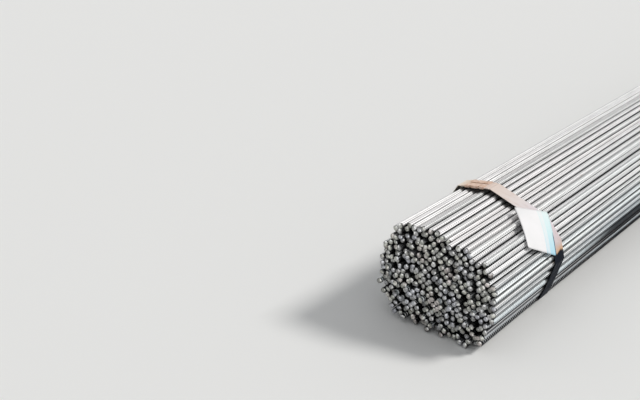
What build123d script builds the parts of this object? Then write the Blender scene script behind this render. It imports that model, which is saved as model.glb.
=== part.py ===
"""Bundle of 12 mm reinforcing bars, 9 m long, held by seven flat steel straps.

Frame: millimetres, +X along the bars and away from the end that carries the
tag, +Z up. The origin is on the ground, under the middle of the bundle.

Every bar, strap and seal is a solid of its own. The bars are packed by a small
settling loop, worked in units of their centre distance, so a change of bar
size, count or gap packs the bundle anew and the straps follow its outline.
"""

import math
import os
import random

from build123d import *

# Bars
bar_count = 375
bar_diameter = 12.0  # nominal, so one metre weighs 0.888 kg
bar_length = 9000.0
bar_sides = 8  # flats round a bar; its corners are set out so that the area is that of the nominal round
bar_gap = 0.7  # between the nominal rounds of the two bars that lie closest

# Section of the bundle: a rounded outline that draws in on the bars, and then lets them go
section_aspect = 1.22  # width over height
section_power = 3.4  # 2 is an ellipse, more is squarer
section_lean = 14.0  # degrees that the section has rolled, raising its +Y side
section_fill = 0.82  # share of the outline that the nominal rounds fill
section_weight = 0.3  # downward pull, as a share of the inward pull
ground_share = 0.9  # of the half height, from the middle down to the ground
start_room = 0.12  # how much larger the outline starts
packing_seed = 10
loose_steps = 220  # while the outline draws in
tight_steps = 100  # after it has let go

# Ends: each bar has slid a little along the bundle
end_scatter = 7.0
stray_share = 0.05  # share of the bars that have slid further
stray_slide = 26.0

# Straps
strap_count = 7
strap_from_end = 255.0  # from the mean end of the bars to the middle of the first strap
strap_width = 40.0
strap_thickness = 1.0
strap_clearance = 0.3  # between the strap and the corners of the outermost bars
strap_hump = 4.0  # least height of the lapped joint over the bars, where the tensioning tool lifted it
joint_place = 62.0  # of the joint from the middle plane of the bundle, towards +Y
joint_scatter = 9.0
lap_length = 66.0  # of the outer end over the inner end
lap_gap = 0.3

# Seals, folded round the two layers of each strap
seal_length = 48.0
seal_thickness = 1.2
seal_fold = 0.9  # bevel along the folded edges
seal_side_gap = 0.4
seal_slot = 9.0  # between the two flanges folded over the top
crimp_depth = 4.5
crimp_width = 9.0
crimp_pitch = 22.0

# Tag, a thin card bowed over the first strap
tag_length = 104.0
tag_width = 89.0
tag_thickness = 0.8
tag_corner = 4.0
tag_bend = 180.0  # radius of its bow, to the inner face
tag_slope = 42.0  # degrees that its middle is turned from straight up, towards -Y
tag_turn = 54.0  # degrees that its long edge is turned from the bars
tag_ahead = 39.0  # from the middle of the first strap to the middle of the tag
tag_aside = 110.5  # from the middle plane of the bundle to the middle of the tag, towards -Y
tag_clearance = 0.3

# Sizes that follow from those above
bar_corner = bar_diameter / 2 * math.sqrt(2 * math.pi / (bar_sides * math.sin(2 * math.pi / bar_sides)))
bar_pitch = bar_diameter + bar_gap
ground_clearance = strap_thickness + strap_clearance
strap_outset = bar_corner + strap_clearance
seal_half_width = strap_width / 2 + seal_side_gap
seal_gap = 0.3


def settled_places():
    """Bar centres (y, z) in units of the closest centre distance, packed over flat ground."""
    chance = random.Random(packing_seed)
    squareness = 4 * math.gamma(1 + 1 / section_power) ** 2 / math.gamma(1 + 2 / section_power)
    half_height = math.sqrt(bar_count * math.pi / 4 / (section_fill * squareness * section_aspect))
    half_width = half_height * section_aspect
    ground = -half_height * ground_share

    places = []
    while len(places) < bar_count:
        y = chance.uniform(-1, 1)
        z = chance.uniform(-1, 1)
        if abs(y) ** section_power + abs(z) ** section_power < 1:
            places.append([(1 + start_room) * half_width * y, (1 + start_room) * half_height * z])

    for step in range(loose_steps + tight_steps):
        left = max(0.0, 1 - step / loose_steps)
        room = 1 + start_room * max(0.0, 1 - step / (0.8 * loose_steps))
        draw_in(places, 0.003 + 0.02 * left)
        for _ in range(3 if left > 0 else 12):
            push_apart(places, ground)
            if left > 0:
                keep_inside(places, room * (half_width - 0.5), room * (half_height - 0.5))
    closest = min(math.dist(places[i], places[j]) for i, j in near_pairs(places, 1.5))
    return [(y / closest, (z - ground) / closest) for y, z in places]


def draw_in(places, pull):
    """Move every place a little towards the middle and a little down."""
    for place in places:
        reach = max(5.0, math.hypot(*place))
        place[0] -= pull * place[0] / reach
        place[1] -= pull * (place[1] / reach + section_weight)


def keep_inside(places, half_width, half_height):
    """Bring back each place that lies outside the leaning outline."""
    turn_cos = math.cos(math.radians(section_lean))
    turn_sin = math.sin(math.radians(section_lean))
    for place in places:
        along = abs(turn_cos * place[0] + turn_sin * place[1]) / half_width
        across = abs(turn_cos * place[1] - turn_sin * place[0]) / half_height
        outness = (along**section_power + across**section_power) ** (1 / section_power)
        if outness > 1:
            place[0] /= outness
            place[1] /= outness


def near_pairs(places, reach):
    """Index pairs of places less than about one reach apart, found cell by cell."""
    cells = {}
    for index, (y, z) in enumerate(places):
        cells.setdefault((math.floor(y / reach), math.floor(z / reach)), []).append(index)
    for (row, column), members in cells.items():
        around = [
            index
            for next_row in (row - 1, row, row + 1)
            for next_column in (column - 1, column, column + 1)
            for index in cells.get((next_row, next_column), ())
        ]
        for first in members:
            for second in around:
                if first < second:
                    yield first, second


def push_apart(places, ground):
    """Part each pair that is nearer than one unit, and keep every place on or above the ground."""
    for first, second in list(near_pairs(places, 1.0)):
        one = places[first]
        other = places[second]
        distance = math.dist(one, other)
        if 0 < distance < 1:
            share = 0.5 * (1 - distance) / distance
            shift_y = share * (other[0] - one[0])
            shift_z = share * (other[1] - one[1])
            one[0] -= shift_y
            one[1] -= shift_z
            other[0] += shift_y
            other[1] += shift_z
    for place in places:
        place[1] = max(place[1], ground)


def bar_centres():
    """Bar centres (y, z) in millimetres, centred across the bundle and resting on the straps."""
    units = settled_places()
    middle = (min(y for y, z in units) + max(y for y, z in units)) / 2
    lowest = min(z for y, z in units)
    rest = ground_clearance + bar_corner
    return [((y - middle) * bar_pitch, rest + (z - lowest) * bar_pitch) for y, z in units]


def bar_slides():
    """How far each bar has slid along the bundle, with the outermost two ends at equal distances."""
    chance = random.Random(packing_seed + 1)
    slides = []
    for _ in range(bar_count):
        slide = chance.uniform(-end_scatter, end_scatter) + chance.uniform(-end_scatter, end_scatter)
        if chance.random() < stray_share:
            slide += chance.uniform(0.3, 1.0) * stray_slide
        slides.append(slide)
    middle = (min(slides) + max(slides)) / 2
    return [slide - middle for slide in slides]


def hull_points(points):
    """Corners of the smallest convex outline round some points, anticlockwise."""
    ordered = sorted(points)

    def chain(run):
        corners = []
        for y, z in run:
            while len(corners) > 1:
                (y1, z1), (y2, z2) = corners[-2:]
                if (y2 - y1) * (z - z1) - (z2 - z1) * (y - y1) > 1e-6:
                    break
                corners.pop()
            corners.append((y, z))
        return corners[:-1]

    return chain(ordered) + chain(ordered[::-1])


def loop_between(corners, inside, outside):
    """Sketch of the closed band between two outsets of an outline."""
    with BuildSketch() as band:
        with BuildLine():
            Polyline(*corners, close=True)
        make_face()
        offset(amount=outside, kind=Kind.INTERSECTION)
        with BuildSketch(mode=Mode.SUBTRACT):
            with BuildLine():
                Polyline(*corners, close=True)
            make_face()
            offset(amount=inside, kind=Kind.INTERSECTION)
    return band.sketch


def outline_height(corners, y):
    """Height of the upper side of an outline at one distance from the middle plane."""
    heights = []
    for (y1, z1), (y2, z2) in zip(corners, corners[1:] + corners[:1]):
        if min(y1, y2) <= y <= max(y1, y2) and y1 != y2:
            heights.append(z1 + (z2 - z1) * (y - y1) / (y2 - y1))
    return max(heights)


def raised_seat(corners, joint, reach):
    """Two points either side of a joint, whose straight line clears the outline by the hump."""
    low = joint - reach
    high = joint + reach
    start = outline_height(corners, low)
    slope = (outline_height(corners, high) - start) / (high - low)
    bulge = max([0.0] + [z - start - slope * (y - low) for y, z in corners if low < y < high])
    rise = start + bulge + strap_hump
    return (low, rise), (high, rise + slope * (high - low))


centres = bar_centres()
slides = bar_slides()
outline = hull_points(centres)
mean_end = sum(slides) / bar_count - bar_length / 2
far_end = mean_end + bar_length
strap_pitch = (far_end - mean_end - 2 * strap_from_end) / (strap_count - 1)
strap_stations = [mean_end + strap_from_end + strap_pitch * number for number in range(strap_count)]
os.makedirs("parts", exist_ok=True)

# Bars
spin = random.Random(packing_seed + 2)
stations = [
    Location((slide - bar_length / 2, y, z), (spin.uniform(0, 360 / bar_sides), 0, 0))
    for slide, (y, z) in zip(slides, centres)
]
with BuildPart() as one_bar:
    with BuildSketch(Plane.YZ):
        RegularPolygon(radius=bar_corner, side_count=bar_sides)
    extrude(amount=bar_length)

with BuildPart() as bars:
    with Locations(*stations):
        add(one_bar.part, clean=False)
bars.part.label = "bars"
export_step(bars.part, "parts/bars.step")

# Straps and their seals
for number, station in enumerate(strap_stations, start=1):
    joint = joint_place + joint_scatter * math.sin(2.4 * (number - 1))
    seat_start, seat_end = raised_seat(outline, joint, lap_length / 2 + 6 * strap_thickness)
    wrapped = hull_points(outline + [seat_start, seat_end])
    joint_plane = Plane(
        (station, joint, (seat_start[1] + seat_end[1]) / 2),
        x_dir=(0, seat_end[0] - seat_start[0], seat_end[1] - seat_start[1]),
        z_dir=(1, 0, 0),
    )
    inner_end = -lap_length / 2
    outer_end = lap_length / 2
    lap_rise = strap_thickness + lap_gap

    with BuildPart() as strap:
        with BuildSketch(Plane.YZ.offset(station - strap_width / 2)):
            add(loop_between(wrapped, strap_outset, strap_outset + strap_thickness))
        extrude(amount=strap_width)
        with BuildSketch(joint_plane.offset(-strap_width / 2)):
            with Locations((inner_end - 2 * strap_thickness, strap_outset)):
                Rectangle(2 * strap_thickness, strap_thickness, align=(Align.MIN, Align.MIN))
        extrude(amount=strap_width, mode=Mode.SUBTRACT)
        with BuildSketch(joint_plane.offset(-strap_width / 2)):
            with BuildLine():
                Polyline(
                    (inner_end - 5 * strap_thickness, strap_outset),
                    (inner_end - 2 * strap_thickness, strap_outset),
                    (inner_end, strap_outset + lap_rise),
                    (outer_end, strap_outset + lap_rise),
                    (outer_end, strap_outset + lap_rise + strap_thickness),
                    (inner_end - strap_thickness, strap_outset + lap_rise + strap_thickness),
                    (inner_end - 4 * strap_thickness, strap_outset + strap_thickness),
                    (inner_end - 5 * strap_thickness, strap_outset + strap_thickness),
                    close=True,
                )
            make_face()
        extrude(amount=strap_width)
    if number == 1:
        first_wrapped = wrapped
    strap.part.label = f"strap_{number}"
    export_step(strap.part, f"parts/strap_{number}.step")

    seal_bottom = strap_outset - seal_gap
    seal_inside = 2 * seal_gap + lap_rise + strap_thickness
    seal_middle = joint_plane.from_local_coords((0, seal_bottom + seal_inside / 2, 0))
    seal_under = joint_plane.from_local_coords((0, seal_bottom - seal_thickness, 0))
    with BuildPart() as seal:
        with BuildSketch(Plane(seal_middle, x_dir=(1, 0, 0), z_dir=joint_plane.x_dir)) as seal_section:
            Rectangle(2 * (seal_half_width + seal_thickness), seal_inside + 2 * seal_thickness)
            chamfer(seal_section.vertices(), seal_fold)
            Rectangle(2 * seal_half_width, seal_inside, mode=Mode.SUBTRACT)
            with Locations((0, -(seal_inside + seal_thickness) / 2)):
                Rectangle(seal_slot, 2 * seal_thickness, mode=Mode.SUBTRACT)
        extrude(amount=seal_length / 2, both=True)
        with BuildSketch(Plane(seal_under, x_dir=(1, 0, 0), z_dir=joint_plane.y_dir)) as crimps:
            for side in (-1, 1):
                for along in (-crimp_pitch / 2, crimp_pitch / 2):
                    edge = side * (seal_half_width + 2 * seal_thickness)
                    tip = edge - side * (crimp_depth + 2 * seal_thickness)
                    with BuildLine():
                        Polyline(
                            (edge, along - crimp_width / 2),
                            (tip, along),
                            (edge, along + crimp_width / 2),
                            close=True,
                        )
                    make_face()
        extrude(amount=seal_inside + 2 * seal_thickness, mode=Mode.SUBTRACT)
    seal.part.label = f"seal_{number}"
    export_step(seal.part, f"parts/seal_{number}.step")

# Tag
face_y = -math.sin(math.radians(tag_slope))
face_z = math.cos(math.radians(tag_slope))
tag_long = (
    math.cos(math.radians(tag_turn)),
    math.sin(math.radians(tag_turn)) * face_z,
    -math.sin(math.radians(tag_turn)) * face_y,
)
with BuildSketch() as over_strap:
    with BuildLine():
        Polyline(*first_wrapped, close=True)
    make_face()
    offset(amount=strap_outset + strap_thickness + tag_clearance, kind=Kind.INTERSECTION)
bow_y = -tag_aside - face_y * tag_bend
under_tag = [
    (corner.X, corner.Y)
    for corner in over_strap.sketch.vertices()
    if abs(corner.X + tag_aside) < tag_length / 2
]
bow_z = max(z - math.sqrt(tag_bend**2 - (y - bow_y) ** 2) for y, z in under_tag)
tag_middle = (strap_stations[0] - tag_ahead, -tag_aside, bow_z + face_z * tag_bend)
with BuildPart() as tag:
    with BuildSketch(Plane.YZ.offset(tag_middle[0] - tag_length)):
        with Locations((bow_y, bow_z)):
            Circle(tag_bend + tag_thickness)
            Circle(tag_bend, mode=Mode.SUBTRACT)
    extrude(amount=2 * tag_length)
    with BuildSketch(Plane(tag_middle, x_dir=tag_long, z_dir=(0, face_y, face_z))):
        RectangleRounded(tag_length, tag_width, tag_corner)
    extrude(amount=tag_length / 2, both=True, mode=Mode.INTERSECT)
tag.part.label = "tag"
export_step(tag.part, "parts/tag.step")
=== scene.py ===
"""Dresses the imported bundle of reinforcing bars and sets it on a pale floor.

Metres, in the row's frame: +X along the bars and away from the tag, +Z up.
"""

import math
import random

import bpy
import numpy as np
from mathutils import Matrix, Vector


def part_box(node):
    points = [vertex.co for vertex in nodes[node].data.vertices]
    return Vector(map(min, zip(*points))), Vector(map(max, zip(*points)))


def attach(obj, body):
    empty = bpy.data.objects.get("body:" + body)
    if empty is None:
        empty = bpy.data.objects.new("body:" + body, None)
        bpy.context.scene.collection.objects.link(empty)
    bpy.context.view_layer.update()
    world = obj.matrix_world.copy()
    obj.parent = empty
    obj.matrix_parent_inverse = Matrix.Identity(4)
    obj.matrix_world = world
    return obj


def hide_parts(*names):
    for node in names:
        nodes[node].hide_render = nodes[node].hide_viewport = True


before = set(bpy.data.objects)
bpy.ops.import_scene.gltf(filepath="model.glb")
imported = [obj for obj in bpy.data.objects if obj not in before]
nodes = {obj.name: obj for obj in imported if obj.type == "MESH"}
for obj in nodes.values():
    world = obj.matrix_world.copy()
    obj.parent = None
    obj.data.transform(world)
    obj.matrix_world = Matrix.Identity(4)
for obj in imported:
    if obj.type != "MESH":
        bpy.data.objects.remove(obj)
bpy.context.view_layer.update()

# Photograph: where the camera stood, from the vanishing point of the bars
FRAME_PX = (640, 400)
FOCAL_PX = 930.0
END_PX = (440.0, 282.0)  # the point of the near end that END_POINT names
END_POINT = (-4.5072, -0.00955, 0.1277)
END_DISTANCE = 1.95
HEADING = math.radians(40.3)  # of the view, from +X towards +Y
PITCH = math.radians(24.8)  # of the view, downwards

# Bars: core, the two long ribs (seams) and the crescent ribs
CORE_RADIUS = 0.00575
SEAM_HEIGHT = 0.0009
SEAM_HALF_TOP = math.radians(5.5)
SEAM_HALF_FOOT = math.radians(9.0)
RIB_HEIGHT = 0.0012
RIB_PITCH = 0.0065
RIB_BASE = 0.0030  # width of a rib's foot at its middle
RIB_SUNK = 0.0002  # how far a rib's foot lies inside the core
RIB_LEAN = 0.0042  # how far a rib's end runs on along the bar from its start
RIB_STATIONS = np.radians([14.0, 38.0, 90.0, 142.0, 166.0])
RIB_SHARE = np.array([0.05, 0.72, 1.0, 0.72, 0.05])  # of the full height at those stations
RIBBED_NEAR = 1.25  # length of modelled ribs from the near end, on the tag's side and on top
RIBBED_BEHIND = 0.36  # and on the other sides
RIBBED_FAR = 0.2  # and from the far end
RIBBED_INSIDE = 0.024  # and at both ends of the bars inside
RIB_MARGIN = 0.005  # bare length at a bar's end
RIB_MARGIN_INSIDE = 0.004
RIBS_A_PIECE = 150000  # triangles after which the next piece of ribs starts
TAG_SIDE = math.radians(144.5)  # direction in the cross-section that the tag's side faces

# Wear and painted light on a bar, from 0 at the foot of a rib, in painted shade, to 1 at the top
# of one on a dark bar, with a painted highlight
CORE_WEAR_LIGHT = 0.25
SEAM_WEAR_LIGHT = 0.6
PALE_RIB_WEAR_LIGHT = 0.38  # the top of a rib on a pale bar
DARK_BELOW = 0.10  # height below which the bars carry painted shade and their ribs the full painted highlight

# Which bars show, and which lie beside each other
VIEW_STEPS = 24  # directions round a bar that are tried
VIEW_HALF = 0.0056  # a bar whose centre is this close to a direction's line closes it
HALF_REACH = 0.45  # radians to each side of an open direction in which a bar shows
BESIDE = 0.0165  # between the centres of neighbours
LOW_SIDE_BELOW = 0.07  # height of the low bars on the tag's side
LIT_LOW_TONE = 0.82  # of those of them that get painted light instead of painted shade

# How open a bar is near its ends
GONE_LIGHT = 0.75  # where all its neighbours end short of it
END_LIGHT = 0.04  # and otherwise, fading over this depth:
END_LIGHT_DEPTH = 0.03

# Waviness of the bars
WAVE_OUT = 0.0022
WAVE_SIDE = 0.0006
END_STRAY = 0.0006
FREE_END = 0.3  # length over which a bar comes loose beyond the first or last strap
FLOOR_GAP = 0.0004  # under the long ribs of the lowest bars

# Sheared ends
END_RADIUS = 0.0059  # of the cut faces, over the ribs that the shears went through
CUT_LEAN = 13  # degrees, at most
CUT_BACK = 0.0009  # least distance of the core's last ring from the end of its solid
RIM_BACK = 0.0008  # of a cut face's rim behind that ring
FACE_RISE = 0.0013  # of the cut face before its rim
FLARE_LENGTH = 0.0035  # over which the bar widens to the rim

# Where a bar's cross-sections stand, from each end and along its length
TIP_STATIONS = (0.0, 0.006, 0.014, 0.03)
CLOSE_STEP = 0.12  # where the ribs are modelled
FAR_STEP = 0.35  # and beyond

# Tag: how its CAD solid lies, and how its card has straightened and turned from there
TAG_SLOPE = math.radians(42.0)
TAG_TURN = math.radians(54.0)
TAG_THICK = 0.0008
TAG_CORNER = 0.004
CARD_TURN = math.radians(57.0)
CARD_BEND = 0.24  # radius of its bow
CARD_CURL = 0.0012
CARD_STEPS = 24

# Strap: how its colours run
STRAP_SPAN = 0.32  # across the bundle
STRAP_DARK_BELOW = 0.135

# Floor and light
FLOOR_HALF = 40.0
FLOOR_COLOUR = (0.86, 0.86, 0.85, 1.0)
SUN_ENERGY = 1.95
SUN_ANGLE = math.radians(14)
SUN_COLOUR = (1.0, 0.985, 0.96)
SUN_FROM = Vector((0.66, -0.74, 0.92))
FILL_COLOUR = (0.97, 0.985, 1.0, 1.0)
FILL_STRENGTH = 0.46
SENSOR_WIDTH = 36.0  # mm


def points_of(node):
    """Vertex places of a node's mesh as an array."""
    mesh = nodes[node].data
    flat = np.empty(3 * len(mesh.vertices))
    mesh.vertices.foreach_get("co", flat)
    return flat.reshape(-1, 3)


def islands_of(node):
    """The separate solids in a node, each as the array of its vertex places."""
    places = points_of(node)
    mesh = nodes[node].data
    edges = np.empty(2 * len(mesh.edges), dtype=np.int64)
    mesh.edges.foreach_get("vertices", edges)
    microns = np.round(places * 1e6).astype(np.int64)
    merged = np.unique(microns, axis=0, return_inverse=True)[1].ravel()
    one, other = merged[edges.reshape(-1, 2)].T
    label = np.arange(merged.max() + 1)
    while (label[one] != label[other]).any():
        low = np.minimum(label[one], label[other])
        np.minimum.at(label, one, low)
        np.minimum.at(label, other, low)
    return [places[label[merged] == value] for value in np.unique(label)]


def read_bars():
    """Bars as (y, z, near end, far end), from the lowest up."""
    found = []
    for solid in islands_of("bars"):
        low = solid.min(axis=0)
        high = solid.max(axis=0)
        found.append(((low[1] + high[1]) / 2, (low[2] + high[2]) / 2, low[0], high[0]))
    return sorted(found, key=lambda bar: (round(bar[1], 5), round(bar[0], 5)))


bars = read_bars()
near_end = float(np.mean([bar[2] for bar in bars]))
far_end = float(np.mean([bar[3] for bar in bars]))
strap_names = sorted(name for name in nodes if name.startswith("strap_"))
strap_places = sorted((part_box(name)[0][0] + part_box(name)[1][0]) / 2 for name in strap_names)
strap_pitch = strap_places[1] - strap_places[0]


def open_directions(index):
    """Directions in the cross-section from which a bar can be seen."""
    centres = np.array([bar[:2] for bar in bars])
    away = np.delete(centres, index, axis=0) - centres[index]
    seen = []
    for step in range(VIEW_STEPS):
        angle = step * 2 * math.pi / VIEW_STEPS
        ahead = away @ np.array([math.cos(angle), math.sin(angle)])
        aside = np.abs(away @ np.array([-math.sin(angle), math.cos(angle)]))
        if not ((ahead > 0) & (aside < VIEW_HALF)).any():
            seen.append(angle)
    return seen


open_sides = [open_directions(index) for index in range(len(bars))]
outward = []
for sides in open_sides:
    total = sum((Vector((math.cos(a), math.sin(a))) for a in sides), Vector((0.0, 0.0)))
    outward.append(total.normalized() if total.length > 1e-6 else Vector((0.0, 0.0)))

neighbours = []  # of each bar, the near and far ends of those beside it
for bar in bars:
    others = [other for other in bars if other is not bar]
    neighbours.append([other[2:] for other in others if math.dist(other[:2], bar[:2]) < BESIDE])

chance = random.Random(4)
spins = [chance.uniform(0, 2 * math.pi) for _ in bars]
tones = [min(1.0, max(0.0, chance.gauss(0.5, 0.2))) for _ in bars]
strays = [(chance.uniform(-1, 1), chance.uniform(-1, 1)) for _ in bars]
phases = [chance.uniform(0, 2 * math.pi) for _ in bars]

low_side = []
for index, bar in enumerate(bars):
    if bar[1] < LOW_SIDE_BELOW and any(abs(a - math.pi) < 0.5 for a in open_sides[index]):
        low_side.append(index)
# Every fourth of them is painted lit, as a bright line over the painted shade
for index in low_side[3::4]:
    tones[index] = LIT_LOW_TONE


def openness(index, angles):
    """Share of the directions round each angle from which the bar can be seen there."""
    a_radian = VIEW_STEPS / 2 / math.pi
    steps = {round(angle * a_radian) % VIEW_STEPS for angle in open_sides[index]}
    shares = []
    for angle in np.ravel(angles):
        near = [round(angle * a_radian + shift) % VIEW_STEPS in steps for shift in range(-3, 4)]
        shares.append(sum(near) / len(near))
    return np.array(shares)


def slack(x):
    """0 at each strap, rising to 1 half-way between straps and towards the free ends."""
    x = np.asarray(x, dtype=float)
    between = np.abs(np.sin(math.pi * (x - strap_places[0]) / strap_pitch))
    ends = np.maximum(strap_places[0] - x, x - strap_places[-1]) / FREE_END
    inside = (x > strap_places[0]) & (x < strap_places[-1])
    return np.where(inside, between, np.clip(ends, 0, 1) ** 1.5)


def drift(index, x):
    """Sideways shift (y, z) of a bar's centre line at places along it."""
    x = np.asarray(x, dtype=float)
    y, z = bars[index][:2]
    free = slack(x)
    # Bars that lie close together swell out nearly together
    swell = 0.5 + 0.5 * np.sin(2.3 * x + 21 * y - 17 * z + 0.35 * phases[index])
    push = WAVE_OUT * free * swell * (0.35 + 0.65 * abs(strays[index][0]))
    side = WAVE_SIDE * free * np.sin(3.1 * x + phases[index])
    beyond = (x < strap_places[0]) | (x > strap_places[-1])
    out_y, out_z = outward[index]
    loose = END_STRAY * free * beyond
    shift_y = push * out_y - side * out_z + loose * strays[index][0]
    shift_z = push * out_z + side * out_y + loose * strays[index][1]
    lowest = CORE_RADIUS + SEAM_HEIGHT + FLOOR_GAP
    return shift_y, np.maximum(shift_z, lowest - z)


def profile():
    """Round core with its two long ribs, as (angle, radius) once round."""
    half = [
        (-SEAM_HALF_FOOT, 0.0),
        (-SEAM_HALF_TOP, SEAM_HEIGHT),
        (SEAM_HALF_TOP, SEAM_HEIGHT),
        (SEAM_HALF_FOOT, 0.0),
    ]
    half += [(math.radians(a), 0.0) for a in (36, 63, 90, 117, 144)]
    return np.array([(a + turn, CORE_RADIUS + h) for turn in (0.0, math.pi) for a, h in half])


PROFILE = profile()


def new_object(name, points, faces, smooth, values):
    """A mesh object with float attributes on its points."""
    mesh = bpy.data.meshes.new(name)
    mesh.from_pydata(points, [], faces)
    mesh.polygons.foreach_set("use_smooth", smooth)
    for key, kept in values.items():
        mesh.attributes.new(key, "FLOAT", "POINT").data.foreach_set("value", kept)
    mesh.update()
    made = bpy.data.objects.new(name, mesh)
    bpy.context.scene.collection.objects.link(made)
    return made


class Heap:
    """Vertices and faces of one piece while it is put together."""

    def __init__(self):
        self.points = []
        self.faces = []
        self.slots = []
        self.smooth = []
        self.values = {"tone": [], "open": [], "worn": []}
        self.size = 0

    def add(self, points, faces, slot, smooth, **values):
        """Add faces of one material slot, with values for the attributes of their points."""
        count = len(points)
        self.points.append(np.asarray(points, dtype=float))
        self.faces.extend([tuple(int(v) + self.size for v in face) for face in faces])
        self.slots.extend([slot] * len(faces))
        self.smooth.extend([smooth] * len(faces))
        for name, kept in self.values.items():
            value = np.asarray(values.get(name, 0.0), dtype=float)
            kept.append(np.broadcast_to(value, (count,)))
        self.size += count

    def triangles(self):
        return sum(len(face) - 2 for face in self.faces)

    def piece(self, name, materials):
        """The Blender object of what was added."""
        values = {key: np.concatenate(kept) for key, kept in self.values.items()}
        points = np.concatenate(self.points).tolist()
        made = new_object(name, points, self.faces, self.smooth, values)
        made.data.polygons.foreach_set("material_index", self.slots)
        for material in materials:
            made.data.materials.append(material)
        return made


def ring(index, x):
    """One cross-section of a bar."""
    y, z = bars[index][:2]
    shift_y, shift_z = drift(index, x)
    angles = PROFILE[:, 0] + spins[index]
    radii = PROFILE[:, 1]
    return np.column_stack(
        [
            np.full(len(angles), float(x)),
            y + shift_y + radii * np.cos(angles),
            z + shift_z + radii * np.sin(angles),
        ]
    )


def end_light(index, x):
    """How open a bar is near its ends: a little, and more where its neighbours end short of it."""
    beside = neighbours[index]
    gone = sum(x < start or x > stop for start, stop in beside) / len(beside)
    depth = min(x - near_end, far_end - x)
    fading = min(1.0, max(0.0, 1 - depth / END_LIGHT_DEPTH))
    return max(GONE_LIGHT * gone**1.5, END_LIGHT * fading)


def add_core(heap, index, stations):
    """A bar's core between its ends, with a sheared cap at each end."""
    count = len(PROFILE)
    cut = random.Random(1000 + index)
    rings = [ring(index, x) for x in stations]
    faces = []
    for row in range(0, (len(rings) - 1) * count, count):
        for corner in range(count):
            after = (corner + 1) % count
            faces.append((row + corner, row + count + corner, row + count + after, row + after))
    for end, sign in ((0, -1.0), (len(rings) - 1, 1.0)):
        lean = math.tan(math.radians(cut.uniform(0, CUT_LEAN)))
        turn = cut.uniform(0, 2 * math.pi)
        middle = rings[end].mean(axis=0)
        away = rings[end][:, 1:] - middle[1:]
        tilt = away @ np.array([math.cos(turn), math.sin(turn)])
        rings[end][:, 0] -= sign * (CUT_BACK + lean * (CORE_RADIUS + tilt))
        size = np.linalg.norm(away, axis=1)[:, None]
        ways = away / size
        angles = np.arctan2(ways[:, 1], ways[:, 0])
        oval = np.cos(2 * (angles - turn))[:, None]
        squash = cut.uniform(0.95, 1.03) - 0.09 * cut.random() * oval
        rim = rings[end].copy()
        rim[:, 1:] = middle[1:] + ways * np.maximum(size, END_RADIUS) * squash
        rim[:, 0] -= sign * RIM_BACK
        inner = rim.copy()
        inner[:, 1:] = middle[1:] + (rim[:, 1:] - middle[1:]) * cut.uniform(0.78, 0.88)
        inner[:, 0] += sign * FACE_RISE
        hub = inner.mean(axis=0)
        back = rim.copy()
        back[:, 0] -= sign * FLARE_LENGTH
        back[:, 1:] = middle[1:] + ways * np.minimum(size, CORE_RADIUS)
        cap = np.vstack([back, rim, inner, hub])
        sides = []
        rims = []
        fans = []
        order = 1 if sign > 0 else -1
        for corner in range(count):
            after = (corner + 1) % count
            side = (corner, corner + count, after + count, after)
            fan = (corner + 2 * count, 3 * count, after + 2 * count)
            sides.append(side[::order])
            rims.append(tuple(v + count for v in side)[::order])
            fans.append(fan[::order])
        # Painted highlight on one side of the cut face, most often the same one; the cut metal
        # turns metallic there too
        base = cut.uniform(0.06, 0.42)
        bright = cut.gauss(math.radians(125), 0.8)
        spot = np.exp(-((np.angle(np.exp(1j * (angles - bright))) / 0.6) ** 2))
        tone = base + cut.uniform(0.7, 1.8) * np.concatenate([0.3 * spot, spot, spot, [0.15]])
        # The flare back to the core takes the steel's painted shade, as between the bars
        heap.add(cap, sides, 0, True, tone=0.3, open=0.2)
        heap.add(cap, rims, 2, False, tone=tone)
        heap.add(cap, fans, 1, False, tone=tone)
    seen = openness(index, PROFILE[:, 0] + spins[index])
    seen = np.concatenate([np.maximum(seen, end_light(index, x)) for x in stations])
    worn = np.where(PROFILE[:, 1] > CORE_RADIUS + 1e-5, SEAM_WEAR_LIGHT, CORE_WEAR_LIGHT)
    worn = np.tile(worn, len(rings))
    heap.add(np.vstack(rings), faces, 0, True, tone=tones[index], open=seen, worn=worn)


def add_ribs(heap, index, start, stop, halves):
    """Crescent ribs on one or both halves of a bar between two places along it."""
    count = len(RIB_STATIONS)
    y, z = bars[index][:2]
    jitter = random.Random(2000 + index)
    for half in halves:
        shift = jitter.uniform(0, RIB_PITCH)
        places = np.arange(start + shift, stop, RIB_PITCH)
        if not len(places):
            continue
        hand = 1.0 if half else -1.0
        angles = RIB_STATIONS + math.pi * half + spins[index]
        middle = places[:, None] + hand * RIB_LEAN * np.linspace(-0.5, 0.5, count)
        shift_y, shift_z = drift(index, places)
        foot = CORE_RADIUS - RIB_SUNK
        top = CORE_RADIUS + RIB_HEIGHT * RIB_SHARE
        width = RIB_BASE / 2 * (0.55 + 0.45 * RIB_SHARE)
        rows = []
        for offset, radius in ((-width, foot), (0.0, top), (width, foot)):
            row_y = y + shift_y[:, None] + radius * np.cos(angles)
            row_z = z + shift_z[:, None] + radius * np.sin(angles)
            rows.append(np.stack([middle + offset, row_y, row_z], axis=-1))
        points = np.stack(rows, axis=1).reshape(-1, 3)
        faces = []
        for rib in range(len(places)):
            base = rib * 3 * count
            for strip in range(2):
                for segment in range(count - 1):
                    a = base + strip * count + segment
                    b = a + count
                    faces.append((a, a + 1, b + 1, b))
        lit = np.array([end_light(index, x) for x in places])
        seen = np.maximum(openness(index, angles)[None, None, :], lit[:, None, None])
        seen = np.broadcast_to(seen, (len(places), 3, count))
        worn = np.zeros((len(places), 3, count))
        worn[:, 1, :] = RIB_SHARE * (1.0 if z < DARK_BELOW else PALE_RIB_WEAR_LIGHT)
        worn[:, 2, :] = CORE_WEAR_LIGHT
        seen = seen.ravel()
        heap.add(points, faces, 0, False, tone=tones[index], open=seen, worn=worn.ravel())


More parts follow.
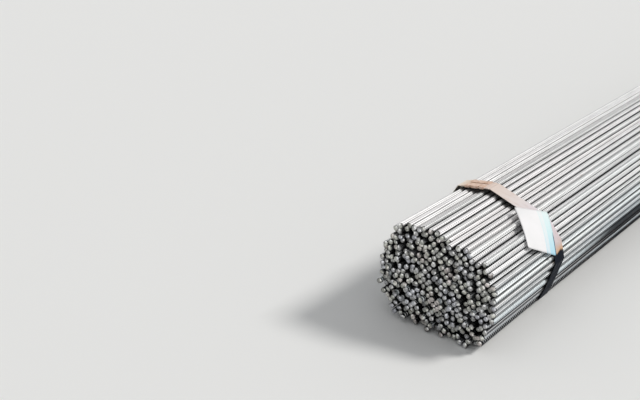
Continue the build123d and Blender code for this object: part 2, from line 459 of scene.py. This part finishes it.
def halves_seen(index):
    """Halves of a bar between its long ribs that show, and those that show on the tag's side."""
    halves = set()
    from_tag = set()
    for angle in open_sides[index]:
        for spread in (-HALF_REACH, 0.0, HALF_REACH):
            half = 0 if (angle + spread - spins[index]) % (2 * math.pi) < math.pi else 1
            halves.add(half)
            if math.cos(angle - TAG_SIDE) > 0.1:
                from_tag.add(half)
    return sorted(halves), sorted(from_tag)


# Materials


def new_material(name):
    """An empty material with its output and shader linked."""
    made = bpy.data.materials.new(name)
    made.use_nodes = True
    tree = made.node_tree
    tree.nodes.clear()
    shader = tree.nodes.new("ShaderNodeBsdfPrincipled")
    output = tree.nodes.new("ShaderNodeOutputMaterial")
    tree.links.new(shader.outputs["BSDF"], output.inputs["Surface"])
    return made, tree, shader


def noise(tree, scale, stretch=(1.0, 1.0, 1.0), detail=3.0, roughness=0.5):
    """Noise over object coordinates, stretched by the scale on each axis."""
    place = tree.nodes.new("ShaderNodeTexCoord")
    mapping = tree.nodes.new("ShaderNodeMapping")
    mapping.inputs["Scale"].default_value = stretch
    texture = tree.nodes.new("ShaderNodeTexNoise")
    texture.inputs["Scale"].default_value = scale
    texture.inputs["Detail"].default_value = detail
    texture.inputs["Roughness"].default_value = roughness
    tree.links.new(place.outputs["Object"], mapping.inputs["Vector"])
    tree.links.new(mapping.outputs["Vector"], texture.inputs["Vector"])
    return texture.outputs["Fac"]


def ramp(tree, source, stops):
    """Colour ramp through (place, colour) stops, where a number stands for a grey."""
    made = tree.nodes.new("ShaderNodeValToRGB")
    elements = made.color_ramp.elements
    while len(elements) > 1:
        elements.remove(elements[-1])
    for number, (place, colour) in enumerate(stops):
        element = elements[0] if number == 0 else elements.new(place)
        element.position = place
        value = colour if isinstance(colour, tuple) else (colour, colour, colour)
        element.color = (*value, 1.0)
    tree.links.new(source, made.inputs["Fac"])
    return made.outputs["Color"]


def mix(tree, factor, one, other, blend="MIX"):
    """Blend of two colours; each value is a socket or a constant."""
    made = tree.nodes.new("ShaderNodeMix")
    made.data_type = "RGBA"
    made.blend_type = blend
    made.clamp_factor = True
    # The sockets 0, 6 and 7 are the factor and the two colours, and output 2 is the colour
    for value, place in ((factor, 0), (one, 6), (other, 7)):
        socket = made.inputs[place]
        if isinstance(value, bpy.types.NodeSocket):
            tree.links.new(value, socket)
        elif isinstance(value, tuple):
            socket.default_value = (*value, 1.0)
        else:
            socket.default_value = value
    return made.outputs[2]


def maths(tree, operation, *values, clamp=False):
    """Math node over sockets and constants."""
    made = tree.nodes.new("ShaderNodeMath")
    made.operation = operation
    made.use_clamp = clamp
    for value, socket in zip(values, made.inputs):
        if isinstance(value, bpy.types.NodeSocket):
            tree.links.new(value, socket)
        else:
            socket.default_value = value
    return made.outputs[0]


def axes(tree):
    """Object coordinates as three sockets."""
    place = tree.nodes.new("ShaderNodeTexCoord")
    split = tree.nodes.new("ShaderNodeSeparateXYZ")
    tree.links.new(place.outputs["Object"], split.inputs[0])
    return split.outputs[0], split.outputs[1], split.outputs[2]


def facing_up(tree):
    """How far the surface faces up, from -1 to 1."""
    place = tree.nodes.new("ShaderNodeTexCoord")
    split = tree.nodes.new("ShaderNodeSeparateXYZ")
    tree.links.new(place.outputs["Normal"], split.inputs[0])
    return split.outputs[2]


def attribute(tree, name):
    """A float attribute of the mesh."""
    made = tree.nodes.new("ShaderNodeAttribute")
    made.attribute_name = name
    return made.outputs["Fac"]


def bump(tree, shader, height, strength, distance):
    """Bump on the shader's normal."""
    made = tree.nodes.new("ShaderNodeBump")
    made.inputs["Strength"].default_value = strength
    made.inputs["Distance"].default_value = distance
    tree.links.new(height, made.inputs["Height"])
    tree.links.new(made.outputs["Normal"], shader.inputs["Normal"])


def bar_steel():
    """Hot-rolled steel: pale where it faces out, with painted shade low down, between the bars, by
    the straps and on what faces down, and painted highlights on the ribs.
    """
    made, tree, shader = new_material("bar_steel")
    tone = attribute(tree, "tone")
    seen = attribute(tree, "open")
    x, y, z = axes(tree)
    pale = ramp(
        tree,
        tone,
        [
            (0.0, (0.68, 0.70, 0.71)),
            (0.3, (0.81, 0.795, 0.795)),
            (0.55, (0.84, 0.85, 0.845)),
            (0.8, (0.865, 0.855, 0.86)),
            (1.0, (0.89, 0.905, 0.90)),
        ],
    )
    # Four times the height, less what the painted shade low down rises by beyond the first strap
    shade_rise = maths(tree, "SUBTRACT", x, strap_places[0] + 0.02)
    shade_rise = maths(tree, "MULTIPLY", shade_rise, 0.4, clamp=True)
    shade_rise = maths(tree, "MINIMUM", shade_rise, 0.13)
    level = maths(tree, "SUBTRACT", maths(tree, "MULTIPLY", z, 4.0), shade_rise)
    # Painted shade, darker towards the bottom, with a painted cool reflection of the sky on the
    # sides above it
    height = ramp(
        tree,
        level,
        [
            (0.06, (0.008, 0.010, 0.013)),
            (0.205, (0.035, 0.043, 0.052)),
            (0.29, (0.84, 0.92, 0.96)),
            (0.50, (0.97, 1.0, 1.0)),
            (0.70, (0.94, 0.955, 0.96)),
            (0.86, (0.95, 0.94, 0.94)),
        ],
    )
    # Some bars low down are painted lit instead of shaded, and what faces down gets painted shade
    lit_low_bars = ramp(tree, tone, [(0.60, 0.0), (0.70, 0.8)])
    height = mix(tree, lit_low_bars, height, (0.84, 0.90, 0.93), "LIGHTEN")
    upward = maths(tree, "MULTIPLY_ADD", facing_up(tree), 0.5, 0.5)
    underside_shade = ramp(
        tree,
        upward,
        [(0.34, (0.06, 0.065, 0.08)), (0.48, (0.52, 0.55, 0.58)), (0.59, 1.0)],
    )
    shade = mix(tree, 1.0, height, underside_shade, "MULTIPLY")
    # The tops of the ribs are rubbed bright and carry a painted highlight, strongest on the dark
    # low bars
    ridge = attribute(tree, "worn")
    raised = maths(tree, "MULTIPLY_ADD", ridge, 1.33, -0.33, clamp=True)
    # The painted highlight on the ribs fades beyond the first strap, with the painted shade there
    clean = maths(tree, "MULTIPLY_ADD", shade_rise, -6.8, 0.95)
    shade = mix(tree, maths(tree, "MULTIPLY", raised, clean), shade, (1.0, 1.0, 1.0))
    pale = mix(tree, 1.0, pale, shade, "MULTIPLY")
    # Painted shade between the bars, where they are hidden from outside; the tops of the ribs keep
    # a painted highlight there
    dark = ramp(tree, tone, [(0.0, (0.006, 0.007, 0.008)), (1.0, (0.022, 0.022, 0.024))])
    caught = maths(tree, "MULTIPLY", raised, maths(tree, "GREATER_THAN", seen, 0.2))
    seen = maths(tree, "MULTIPLY_ADD", caught, 0.34, seen, clamp=True)
    stops = [(0.0, 0.0), (0.14, 0.01), (0.29, 0.07), (0.43, 0.20), (0.57, 0.78), (0.71, 1.0)]
    base = mix(tree, ramp(tree, seen, stops), dark, pale)
    streak = ramp(tree, noise(tree, 1.0, (14.0, 260.0, 260.0), 4.0), [(0.3, 0.86), (0.7, 1.10)])
    scaled = mix(tree, 1.0, base, streak, "MULTIPLY")
    # Painted shade at the feet of the ribs; wear and a painted highlight on their tops and on the
    # long ribs
    worn = ramp(tree, ridge, [(0.0, 0.14), (CORE_WEAR_LIGHT, 0.95), (0.9, 1.38)])
    scaled = mix(tree, 1.0, scaled, worn, "MULTIPLY")
    # Painted shade under each strap and its painted shadow on the bars beside it, reaching further
    # on the near-end side
    nearest = maths(tree, "DIVIDE", maths(tree, "SUBTRACT", x, strap_places[0]), strap_pitch)
    nearest = maths(tree, "SUBTRACT", nearest, maths(tree, "ROUND", nearest))
    aside = maths(tree, "MULTIPLY", nearest, strap_pitch)
    beside = ramp(
        tree,
        maths(tree, "MULTIPLY_ADD", aside, 10.0, 0.5),
        [(0.17, 1.0), (0.22, 0.30), (0.28, 0.12), (0.70, 0.12), (0.72, 0.6), (0.74, 1.0)],
    )
    scaled = mix(tree, 1.0, scaled, beside, "MULTIPLY")
    patches = noise(tree, 1.0, (45.0, 160.0, 160.0), 5.0, 0.65)
    rusty = ramp(tree, patches, [(0.60, 0.0), (0.74, 0.35)])
    colour = mix(tree, rusty, scaled, (0.32, 0.22, 0.15))
    tree.links.new(colour, shader.inputs["Base Color"])
    rough = ramp(tree, noise(tree, 1.0, (60.0, 300.0, 300.0), 3.0), [(0.3, 0.35), (0.7, 0.52)])
    tree.links.new(rough, shader.inputs["Roughness"])
    shader.inputs["Metallic"].default_value = 0.33
    # Weaker specular low down, which deepens the painted shade there
    sheen = ramp(tree, level, [(0.12, 0.05), (0.30, 0.22), (0.46, 0.5)])
    tree.links.new(sheen, shader.inputs["Specular IOR Level"])
    # Ribs as bump, where none are modelled
    after = maths(tree, "GREATER_THAN", x, near_end + RIBBED_NEAR)
    before = maths(tree, "LESS_THAN", x, far_end - RIBBED_FAR)
    mask = maths(tree, "MULTIPLY", after, before)
    slant = maths(tree, "ADD", x, maths(tree, "MULTIPLY", y, 0.6))
    phase = maths(tree, "MULTIPLY", slant, 2 * math.pi / RIB_PITCH)
    wave = maths(tree, "MULTIPLY_ADD", maths(tree, "SINE", phase), 0.5, 0.5)
    ribs = maths(tree, "MULTIPLY", maths(tree, "POWER", wave, 2.0), mask)
    grain = maths(tree, "MULTIPLY", noise(tree, 900.0, (1.0, 1.0, 1.0), 2.0), 0.12)
    bump(tree, shader, maths(tree, "ADD", ribs, grain), 1.0, 0.0009)
    return made


def cut_steel(name, dark, grey, stained):
    """Sheared ends of the bars: grey torn metal, with a painted highlight and more metal where the
    tone is high.
    """
    made, tree, shader = new_material(name)
    tone = attribute(tree, "tone")
    base = ramp(tree, tone, [(0.0, dark), (0.5, grey), (0.8, 0.92), (1.0, 0.97)])
    blots = ramp(tree, noise(tree, 260.0, (1.0, 1.0, 1.0), 4.0, 0.6), [(0.36, 0.55), (0.62, 1.30)])
    base = mix(tree, 1.0, base, blots, "MULTIPLY")
    tint = ramp(
        tree,
        noise(tree, 20.0, (1.0, 1.0, 1.0), 2.0),
        [
            (0.36, (0.95, 0.97, 1.06)),
            (0.47, 1.0),
            (0.55, (1.0, 1.02, 0.93)),
            (0.66, (1.07, 0.98, 0.96)),
        ],
    )
    base = mix(tree, 1.0, base, tint, "MULTIPLY")
    stain = noise(tree, 110.0, (1.0, 1.0, 1.0), 4.0, 0.6)
    stain = ramp(tree, stain, [(0.54, 0.0), (0.74, stained)])
    colour = mix(tree, stain, base, (0.26, 0.19, 0.12))
    tree.links.new(colour, shader.inputs["Base Color"])
    tree.links.new(ramp(tree, tone, [(0.45, 0.1), (0.85, 0.95)]), shader.inputs["Metallic"])
    shader.inputs["Roughness"].default_value = 0.36
    bump(tree, shader, noise(tree, 500.0, (1.0, 1.0, 1.0), 3.0), 0.7, 0.0008)
    return made


def strap_steel():
    """Flat steel strap, cream and rusty along its upper run, blue-black low down."""
    made, tree, shader = new_material("strap_steel")
    _, y, z = axes(tree)
    across = maths(tree, "MULTIPLY_ADD", y, -1.0 / STRAP_SPAN, 0.5)
    base = ramp(
        tree,
        across,
        [
            (0.00, (0.60, 0.50, 0.38)),
            (0.15, (0.92, 0.86, 0.76)),
            (0.25, (0.80, 0.60, 0.46)),
            (0.34, (0.83, 0.65, 0.55)),
            (0.45, (0.76, 0.65, 0.59)),
            (0.62, (0.79, 0.72, 0.70)),
            (0.78, (0.78, 0.72, 0.78)),
            (0.92, (0.66, 0.57, 0.59)),
            (1.00, (0.60, 0.45, 0.33)),
        ],
    )
    rust = ramp(tree, noise(tree, 1.0, (70.0, 22.0, 22.0), 5.0, 0.62), [(0.52, 0.0), (0.72, 0.40)])
    colour = mix(tree, rust, base, (0.52, 0.29, 0.17))
    # Height of the uneven edge between the two colours, with brown above it
    edge = maths(tree, "MULTIPLY_ADD", noise(tree, 60.0), 0.02, STRAP_DARK_BELOW)
    scorched = maths(tree, "SUBTRACT", maths(tree, "ADD", edge, 0.014), z)
    scorched = maths(tree, "MULTIPLY", scorched, 60.0, clamp=True)
    colour = mix(tree, maths(tree, "MULTIPLY", scorched, 0.7), colour, (0.62, 0.33, 0.12))
    low = maths(tree, "MULTIPLY", maths(tree, "SUBTRACT", edge, z), 220.0, clamp=True)
    colour = mix(tree, low, colour, (0.010, 0.013, 0.020))
    tree.links.new(colour, shader.inputs["Base Color"])
    sheen = ramp(tree, low, [(0.0, 0.15), (1.0, 0.02)])
    tree.links.new(sheen, shader.inputs["Specular IOR Level"])
    rough = ramp(tree, noise(tree, 90.0), [(0.3, 0.38), (0.7, 0.62)])
    tree.links.new(rough, shader.inputs["Roughness"])
    bump(tree, shader, noise(tree, 260.0, (1.0, 1.0, 1.0), 4.0), 0.35, 0.0004)
    return made


def seal_steel():
    """Rusty crimped seals."""
    made, tree, shader = new_material("seal_steel")
    base = ramp(
        tree,
        noise(tree, 120.0, (1.0, 1.0, 1.0), 5.0, 0.6),
        [(0.30, (0.50, 0.29, 0.18)), (0.50, (0.76, 0.54, 0.42)), (0.72, (0.86, 0.71, 0.61))],
    )
    tree.links.new(base, shader.inputs["Base Color"])
    shader.inputs["Metallic"].default_value = 0.15
    shader.inputs["Roughness"].default_value = 0.62
    bump(tree, shader, noise(tree, 500.0, (1.0, 1.0, 1.0), 4.0), 0.4, 0.0004)
    return made


steel = bar_steel()
cut_face = cut_steel("cut_face", (0.20, 0.20, 0.20), (0.66, 0.66, 0.65), 0.4)
# The rim is a darker copy of the cut face: painted shade round each cut end
cut_rim_shaded = cut_steel("cut_rim_shaded", (0.02, 0.02, 0.02), (0.36, 0.36, 0.35), 0.2)
bar_materials = [steel, cut_face, cut_rim_shaded]

# Bars
near_zone = near_end + RIBBED_NEAR
inner = Heap()
outer = Heap()
rib_heaps = [Heap()]
for index, (_, _, start, stop) in enumerate(bars):
    near_tip = [start + depth for depth in TIP_STATIONS]
    far_tip = [stop - depth for depth in reversed(TIP_STATIONS)]
    if rib_heaps[-1].triangles() > RIBS_A_PIECE:
        rib_heaps.append(Heap())
    ribs = rib_heaps[-1]
    if open_sides[index]:
        close = list(np.arange(start + CLOSE_STEP, near_zone, CLOSE_STEP))
        rest = list(np.arange(near_zone, stop - RIBBED_FAR, FAR_STEP))
        add_core(outer, index, near_tip + close + rest + far_tip)
        halves, from_tag = halves_seen(index)
        behind = [half for half in halves if half not in from_tag]
        add_ribs(ribs, index, start + RIB_MARGIN, near_zone, from_tag)
        add_ribs(ribs, index, start + RIB_MARGIN, near_end + RIBBED_BEHIND, behind)
        add_ribs(ribs, index, stop - RIBBED_FAR, stop - RIB_MARGIN, halves)
    else:
        add_core(inner, index, near_tip + [strap_places[0], strap_places[-1]] + far_tip)
        add_ribs(ribs, index, start + RIB_MARGIN_INSIDE, start + RIBBED_INSIDE, (0, 1))
        add_ribs(ribs, index, stop - RIBBED_INSIDE, stop - RIB_MARGIN_INSIDE, (0, 1))

made_bars = [inner.piece("bars_inner", bar_materials)]
made_bars.append(outer.piece("bars_outer", bar_materials))
for number, heap in enumerate(rib_heaps, start=1):
    made_bars.append(heap.piece(f"bar_ribs_{number}", [steel]))
for piece in made_bars:
    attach(piece, "root")
    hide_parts("bars")


def dress(node, material):
    """Give a CAD node a material."""
    shown = nodes[node]
    if not shown.material_slots:
        shown.data.materials.append(material)
    for place in shown.material_slots:
        place.material = material


# Straps and seals keep their CAD shape
strap_look = strap_steel()
seal_look = seal_steel()
for name in nodes:
    if name.startswith("strap_"):
        dress(name, strap_look)
    elif name.startswith("seal_"):
        dress(name, seal_look)


def card_look():
    """White coated card with a pale turquoise band, by its own across and along attributes."""
    made, tree, shader = new_material("tag_card")
    across = attribute(tree, "across")
    along = attribute(tree, "along")
    clean = ramp(
        tree,
        noise(tree, 26.0),
        [(0.3, (0.825, 0.82, 0.825)), (0.7, (0.875, 0.86, 0.87))],
    )
    band_tint = ramp(
        tree,
        along,
        [(0.0, (0.30, 0.66, 0.84)), (0.45, (0.52, 0.80, 0.84)), (1.0, (0.72, 0.87, 0.86))],
    )
    # Strong next to the card's edge, then weak, and closed by a narrow line
    strong = [(0.0, 0.95), (0.10, 0.72), (0.20, 0.78)]
    weak = [(0.205, 0.34), (0.31, 0.30)]
    line = [(0.315, 0.6), (0.335, 0.6), (0.34, 0.0)]
    colour = mix(tree, ramp(tree, across, strong + weak + line), clean, band_tint)
    # Painted shadow: a dark line along the card's edge where across is 0, on its lower half
    low = ramp(tree, along, [(0.40, 1.0), (0.52, 0.0)])
    edge = maths(tree, "MULTIPLY", ramp(tree, across, [(0.020, 1.0), (0.034, 0.0)]), low)
    colour = mix(tree, edge, colour, (0.02, 0.09, 0.17))
    tree.links.new(colour, shader.inputs["Base Color"])
    shader.inputs["Roughness"].default_value = 0.38
    shader.inputs["Specular IOR Level"].default_value = 0.5
    bump(tree, shader, noise(tree, 60.0, (1.0, 1.0, 1.0), 2.0), 0.15, 0.0008)
    return made


def card_ways(normal, turned):
    """Directions along and across a card that lies on the tag's slope."""
    slope_way = np.array([0.0, math.cos(TAG_SLOPE), math.sin(TAG_SLOPE)])
    long_way = np.array([math.cos(turned), 0.0, 0.0]) + math.sin(turned) * slope_way
    return long_way, np.cross(normal, long_way)


def bowed_card(name):
    """The tag's card over its CAD solid, with round corners, a bow and slightly curled corners."""
    normal = np.array([0.0, -math.sin(TAG_SLOPE), math.cos(TAG_SLOPE)])
    long_way, wide_way = card_ways(normal, TAG_TURN)
    solid = points_of("tag")
    reach = {}
    for key, way in (("long", long_way), ("wide", wide_way), ("up", normal)):
        heights = solid @ way
        reach[key] = (heights.min(), heights.max())
    middle = long_way * sum(reach["long"]) / 2 + wide_way * sum(reach["wide"]) / 2
    middle = middle + normal * (reach["up"][1] - TAG_THICK)
    half_long = (reach["long"][1] - reach["long"][0]) / 2
    half_wide = (reach["wide"][1] - reach["wide"][0]) / 2
    long_way, wide_way = card_ways(normal, CARD_TURN)
    side = CARD_STEPS + 1
    points = []
    across = []
    along = []
    for number in range(2 * side * side):
        layer, place = divmod(number, side * side)
        row, column = divmod(place, side)
        u = 2 * row / CARD_STEPS - 1
        v = 2 * column / CARD_STEPS - 1
        a = half_long * u
        b = half_wide * v
        over_a = max(abs(a) - (half_long - TAG_CORNER), 0.0)
        over_b = max(abs(b) - (half_wide - TAG_CORNER), 0.0)
        beyond = math.hypot(over_a, over_b)
        if beyond > TAG_CORNER:
            a -= math.copysign(over_a * (1 - TAG_CORNER / beyond), a)
            b -= math.copysign(over_b * (1 - TAG_CORNER / beyond), b)
        down_slope = a * math.sin(CARD_TURN) + b * math.cos(CARD_TURN)
        bow = CARD_BEND + TAG_THICK * layer
        drop = bow - math.sqrt(bow * bow - down_slope * down_slope)
        curl = CARD_CURL * (u * u * v * v) * (1 if u * v > 0 else 0.4)
        rise = TAG_THICK * layer - drop + curl
        points.append(tuple(middle + long_way * a + wide_way * b + normal * rise))
        across.append((v + 1) / 2)
        along.append((u + 1) / 2)
    faces = []
    for row in range(CARD_STEPS):
        for column in range(CARD_STEPS):
            a = row * side + column
            under = (a, a + 1, a + side + 1, a + side)
            faces.append(under)
            faces.append(tuple(v + side * side for v in under[::-1]))
    smooth = [True] * len(faces)
    rim = list(range(CARD_STEPS))
    rim += [row * side + CARD_STEPS for row in range(CARD_STEPS)]
    rim += [CARD_STEPS * side + CARD_STEPS - column for column in range(CARD_STEPS)]
    rim += [(CARD_STEPS - row) * side for row in range(CARD_STEPS)]
    for one, other in zip(rim, rim[1:] + rim[:1]):
        faces.append((other, one, one + side * side, other + side * side))
        smooth.append(False)
    return new_object(name, points, faces, smooth, {"across": across, "along": along})


# The tag's card is drawn again
card = bowed_card("tag_blank_card")
card.data.materials.append(card_look())
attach(card, "root")
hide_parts("tag")

# Floor
corners = [(-1, -1), (1, -1), (1, 1), (-1, 1)]
floor_points = [(FLOOR_HALF * x, FLOOR_HALF * y, 0.0) for x, y in corners]
floor = new_object("floor", floor_points, [(0, 1, 2, 3)], [False], {})
floor_material, _, floor_shader = new_material("floor")
floor_shader.inputs["Base Color"].default_value = FLOOR_COLOUR
floor_shader.inputs["Roughness"].default_value = 0.9
floor.data.materials.append(floor_material)

# Light
sun_data = bpy.data.lights.new("sun", "SUN")
sun_data.energy = SUN_ENERGY
sun_data.angle = SUN_ANGLE
sun_data.color = SUN_COLOUR
sun = bpy.data.objects.new("sun", sun_data)
sun.rotation_euler = SUN_FROM.to_track_quat("Z", "Y").to_euler()
bpy.context.scene.collection.objects.link(sun)

world = bpy.data.worlds.new("studio")
world.use_nodes = True
bpy.context.scene.world = world
world_tree = world.node_tree
world_tree.nodes.clear()
path = world_tree.nodes.new("ShaderNodeLightPath")
seen = maths(world_tree, "MAXIMUM", path.outputs["Is Camera Ray"], path.outputs["Is Glossy Ray"])
seen = maths(world_tree, "MAXIMUM", seen, path.outputs["Is Transmission Ray"])
choice = world_tree.nodes.new("ShaderNodeMixShader")
world_tree.links.new(seen, choice.inputs[0])
backgrounds = ((FILL_COLOUR, FILL_STRENGTH), ((1.0, 1.0, 1.0, 1.0), 1.0))
for place, (colour, strength) in enumerate(backgrounds, start=1):
    background = world_tree.nodes.new("ShaderNodeBackground")
    background.inputs["Color"].default_value = colour
    background.inputs["Strength"].default_value = strength
    world_tree.links.new(background.outputs[0], choice.inputs[place])
world_out = world_tree.nodes.new("ShaderNodeOutputWorld")
world_tree.links.new(choice.outputs[0], world_out.inputs["Surface"])

# Camera, turned so that END_POINT falls on END_PX
forward = Vector(
    (
        math.cos(HEADING) * math.cos(PITCH),
        math.sin(HEADING) * math.cos(PITCH),
        -math.sin(PITCH),
    )
)
right = Vector((math.sin(HEADING), -math.cos(HEADING), 0.0))
up = right.cross(forward)
across_px = END_PX[0] - FRAME_PX[0] / 2
down_px = END_PX[1] - FRAME_PX[1] / 2
ray = (forward * FOCAL_PX + right * across_px - up * down_px).normalized()
camera_data = bpy.data.cameras.new("camera")
camera_data.sensor_width = SENSOR_WIDTH
camera_data.sensor_fit = "HORIZONTAL"
camera_data.lens = FOCAL_PX * SENSOR_WIDTH / FRAME_PX[0]
camera_data.clip_start = 0.02
camera_data.clip_end = 200.0
camera = bpy.data.objects.new("camera", camera_data)
turn = Matrix((right, up, -forward)).transposed().to_4x4()
camera.matrix_world = Matrix.Translation(Vector(END_POINT) - ray * END_DISTANCE) @ turn
bpy.context.scene.collection.objects.link(camera)
bpy.context.scene.camera = camera

bpy.context.scene.view_settings.view_transform = "Standard"
